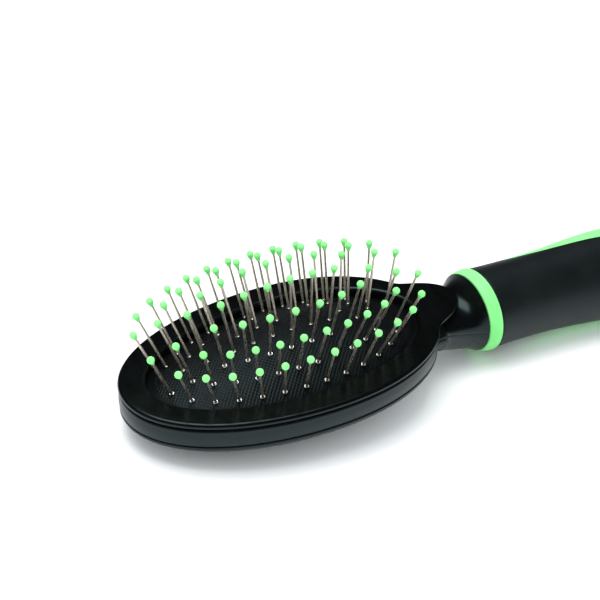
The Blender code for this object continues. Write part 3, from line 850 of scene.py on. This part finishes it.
def make_grip_panels(material):
    """Two soft panels half a turn apart, with eased edges along the stripes."""
    side_gap, ease = 0.12 * MM, 0.4 * MM
    for name, node, turn in (("grip_far", "grip_panel_far", 0), ("grip_near", "grip_panel_near", -180)):
        bm = bmesh.new()
        loops = []
        for x, outer in grip_stations():
            inner = outer - GRIP_THICK
            slip = math.degrees(side_gap / outer)
            first = turn + STRIPE_FAR_DEG + slip
            last = turn + 180 + stripe_near_deg(x) - slip
            eased = [(math.degrees(ease * (1 - math.cos(a)) / outer), ease * (1 - math.sin(a)))
                     for a in spread(0, math.pi / 2, 5)]
            loop = [section(x, first + away, outer - down) for away, down in eased]
            edge = eased[-1][0]
            loop += [section(x, a, outer) for a in spread(first + edge, last - edge, 66)[1:-1]]
            loop += [section(x, last - away, outer - down) for away, down in reversed(eased)]
            loop += [section(x, a, inner) for a in spread(last, first, 24)]
            loops.append(loop)
        loft(bm, loops)
        piece(name, bm, HANDLE_PLACE, [material], "head_and_handle", [node])


def make_rear_cap(material):
    bm = bmesh.new()
    start = GRIP_PROFILE[-1][0] * MM + GAP
    radius = 12.1 * MM
    plug = ((PLUG_START, PLUG_RADIUS), (start, PLUG_RADIUS))
    profile = [(start, radius - 0.5 * MM), (start + 0.15 * MM, radius - 0.15 * MM)]
    for degrees in spread(6, 88, 22):
        angle = math.radians(degrees)
        profile.append((start + (HANDLE_END - start) * math.sin(angle), radius * math.cos(angle) ** 0.7))
    count = 128
    loops = [[polar(x, 360 * i / count, r) for i in range(count)] for x, r in plug]
    loops += [[section(x, 360 * i / count, r) for i in range(count)] for x, r in profile]
    loft(bm, loops)
    piece("rear_cap", bm, HANDLE_PLACE, [material], "head_and_handle", ["end_cap"])


# Set -------------------------------------------------------------------------------------------------

def make_floor():
    bm = bmesh.new()
    bmesh.ops.create_grid(bm, x_segments=8, y_segments=8, size=4.0)
    mesh = bpy.data.meshes.new("floor")
    bm.to_mesh(mesh)
    bm.free()
    floor = bpy.data.objects.new("floor", mesh)
    floor.location.z = -0.05 * MM
    bpy.context.scene.collection.objects.link(floor)
    finish = Finish("floor", Base_Color=(0.9, 0.9, 0.9, 1), Roughness=0.4, Specular_IOR_Level=0.3)
    mesh.materials.append(finish.material)


def area_light(name, place, target, size, power):
    data = bpy.data.lights.new(name, "AREA")
    data.shape = "RECTANGLE"
    data.size, data.size_y = size
    data.energy = power
    lamp = bpy.data.objects.new(name, data)
    lamp.location = place
    lamp.rotation_euler = (Vector(target) - Vector(place)).to_track_quat("-Z", "Y").to_euler()
    bpy.context.scene.collection.objects.link(lamp)


def make_lights():
    """A pale room that fills the shadows but isn't mirrored in the black parts, and one softbox overhead."""
    world = bpy.data.worlds.new("studio")
    world.use_nodes = True
    background = world.node_tree.nodes["Background"]
    background.inputs["Color"].default_value = (0.93, 0.98, 1.0, 1)
    background.inputs["Strength"].default_value = ROOM_LIGHT
    world.cycles_visibility.glossy = False
    bpy.context.scene.world = world
    area_light("overhead", SOFTBOX_PLACE, (0, 0, 0), SOFTBOX_SIZE, SOFTBOX_WATTS)


def make_camera():
    data = bpy.data.cameras.new("camera")
    data.lens = CAMERA_LENS
    data.sensor_width = 36
    camera = bpy.data.objects.new("camera", data)
    flat = math.cos(CAMERA_ELEVATION)
    toward = (math.sin(CAMERA_AZIMUTH) * flat, -math.cos(CAMERA_AZIMUTH) * flat, math.sin(CAMERA_ELEVATION))
    back = Vector(toward)
    right = Vector((math.cos(CAMERA_AZIMUTH), math.sin(CAMERA_AZIMUTH), 0))
    up = back.cross(right)
    cos_roll, sin_roll = math.cos(CAMERA_ROLL), math.sin(CAMERA_ROLL)
    axes = Matrix((right * cos_roll + up * sin_roll, up * cos_roll - right * sin_roll, back)).transposed()
    camera.matrix_world = Matrix.Translation(CAMERA_TARGET + back * CAMERA_DISTANCE) @ axes.to_4x4()
    bpy.context.scene.collection.objects.link(camera)
    bpy.context.scene.camera = camera


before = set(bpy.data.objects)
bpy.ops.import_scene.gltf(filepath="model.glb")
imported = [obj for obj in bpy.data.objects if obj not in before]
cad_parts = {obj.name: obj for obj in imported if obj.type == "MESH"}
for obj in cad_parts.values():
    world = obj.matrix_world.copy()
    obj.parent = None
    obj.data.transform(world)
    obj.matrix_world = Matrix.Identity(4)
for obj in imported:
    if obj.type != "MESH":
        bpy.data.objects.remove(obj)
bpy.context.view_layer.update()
bpy.context.scene.view_settings.view_transform = "Standard"
make_camera()
make_floor()
make_lights()

plate_gloss = black_plastic("plate_gloss", (0.0012, 0.0013, 0.0014), (0.0024, 0.0026, 0.0027), 0.2, 0.27,
                            700, 0.006 * MM, 0.3)
wall_satin = black_plastic("wall_satin", (0.0025, 0.0034, 0.0038), (0.0045, 0.006, 0.0065), 0.3, 0.38,
                           2400, 0.014 * MM, 0.3)
neck_gloss = black_plastic("neck_gloss", (0.0016, 0.0018, 0.0019), (0.003, 0.0034, 0.0036), 0.24, 0.29,
                           600, 0.006 * MM, 0.3)
mint_plastic = mint("mint_plastic", (0.19, 0.68, 0.20), (0.22, 0.76, 0.23))
mint_tips = mint("mint_tips", (0.23, 0.80, 0.23), (0.27, 0.88, 0.27))
steel_wire = metal("steel_wire", (0.60, 0.52, 0.44), (0.82, 0.74, 0.65), 0.92, 0.24, 0.34)
bright_steel = metal("bright_steel", (0.80, 0.80, 0.78), (0.95, 0.95, 0.93), 1.0, 0.14, 0.26)
make_rim_plate(plate_gloss)
make_side_wall(wall_satin, neck_gloss)
make_back_dome(wall_satin, neck_gloss)
make_cushion(rubber())
make_pins(steel_wire, bright_steel, mint_tips)
make_collar_ring(mint_plastic)
make_core_bar(mint_plastic)
make_grip_panels(soft_grip())
make_rear_cap(plate_gloss)

inner = hidden_plastic()
for node in ("chamber_board", "pad_clamp_ring", "neck_spigot"):
    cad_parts[node].data.materials.clear()
    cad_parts[node].data.materials.append(inner)
